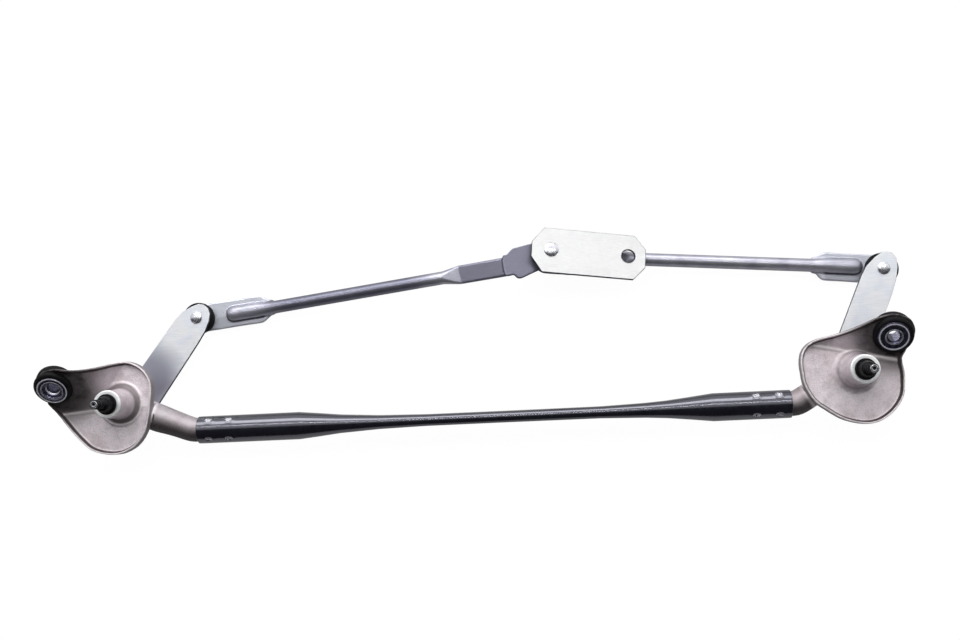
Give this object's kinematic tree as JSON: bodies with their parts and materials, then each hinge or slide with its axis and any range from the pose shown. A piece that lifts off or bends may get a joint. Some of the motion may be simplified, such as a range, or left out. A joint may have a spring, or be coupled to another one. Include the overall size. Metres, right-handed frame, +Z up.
{
  "type": "wiper linkage",
  "caption": "Twin-pivot wiper linkage: black frame tube, cast pivot housings with rubber mounts, swinging cranks, jointed link rods and a motor crank plate.",
  "frame": {"origin": "centre of the bounding box, on the floor the linkage lies on", "axes": "+X along the frame tube towards the housing that stands next to the short rod, +Y from the tube towards the link rods, +Z up, with the shafts leaning 9.3 degrees from +Z towards -Y"},
  "size_m": [0.7874, 0.1948, 0.1043],
  "materials": {
    "cast_aluminium": "as cast, fine grain",
    "coated_tube": "glossy black coating",
    "bronze_bush": "sintered, matt",
    "black_rubber": "matt",
    "sleeve_steel": "plain plated",
    "dark_shaft_steel": "blackened, oiled",
    "socket_plastic": "moulded",
    "rod_steel": "satin zinc plating",
    "zinc_plated_steel": "bright zinc plating"
  },
  "bodies": {
    "frame": {"frame_tube": "coated_tube", "left_pivot_housing": "cast_aluminium", "right_pivot_housing": "cast_aluminium", "left_lower_bush": "bronze_bush", "left_upper_bush": "bronze_bush", "right_lower_bush": "bronze_bush", "right_upper_bush": "bronze_bush", "left_grommet": "black_rubber", "left_sleeve": "sleeve_steel", "right_grommet": "black_rubber", "right_sleeve": "sleeve_steel"},
    "left_crank": {"left_pivot_shaft": "dark_shaft_steel", "left_crank_arm": "zinc_plated_steel", "left_ball_stud": "zinc_plated_steel", "left_thrust_washer": "sleeve_steel", "left_cap_washer": "zinc_plated_steel", "left_shaft_seal": "black_rubber"},
    "right_crank": {"right_pivot_shaft": "dark_shaft_steel", "right_crank_arm": "zinc_plated_steel", "right_ball_stud": "zinc_plated_steel", "right_thrust_washer": "sleeve_steel", "right_cap_washer": "zinc_plated_steel", "right_shaft_seal": "black_rubber"},
    "left_rod": {"left_link_rod": "rod_steel", "left_outer_socket": "socket_plastic", "left_outer_boot": "black_rubber", "left_inner_socket": "socket_plastic", "left_inner_boot": "black_rubber"},
    "right_rod": {"right_link_rod": "rod_steel", "right_outer_socket": "socket_plastic", "right_outer_boot": "black_rubber", "right_inner_socket": "socket_plastic", "right_inner_boot": "black_rubber"},
    "drive_crank": {"drive_crank_plate": "zinc_plated_steel", "drive_ball_stud": "zinc_plated_steel"}
  },
  "joints": [
    {"name": "left_crank_swing", "type": "hinge", "parent": "frame", "child": "left_crank", "pos_m": [-0.32188, -0.04733, 0.03025], "axis": [0, -0.1624, 0.9867], "range_deg": [-10, 65]},
    {"name": "right_crank_swing", "type": "hinge", "parent": "frame", "child": "right_crank", "pos_m": [0.33912, -0.04733, 0.03025], "axis": [0, -0.1624, 0.9867], "range_deg": [-11, 65]},
    {"name": "left_rod_turn", "type": "hinge", "parent": "left_crank", "child": "left_rod", "pos_m": [-0.26116, 0.0358, 0.00896], "axis": [0, -0.1624, 0.9867], "range_deg": [-70, 12]},
    {"name": "right_rod_turn", "type": "hinge", "parent": "right_crank", "child": "right_rod", "pos_m": [0.37871, 0.04813, 0.01099], "axis": [0, -0.1624, 0.9867], "range_deg": [-66, 11]},
    {"name": "drive_crank_turn", "type": "hinge", "parent": "left_rod", "child": "drive_crank", "pos_m": [0.07698, 0.07633, 0.02807], "axis": [0.1467, -0.0141, 0.9891], "continuous": true}
  ],
  "couplings": [
    {"joint": "right_crank_swing", "follows": "left_crank_swing", "ratio": 0.9686},
    {"joint": "left_rod_turn", "follows": "left_crank_swing", "ratio": -1.0476},
    {"joint": "right_rod_turn", "follows": "left_crank_swing", "ratio": -0.9873}
  ]
}
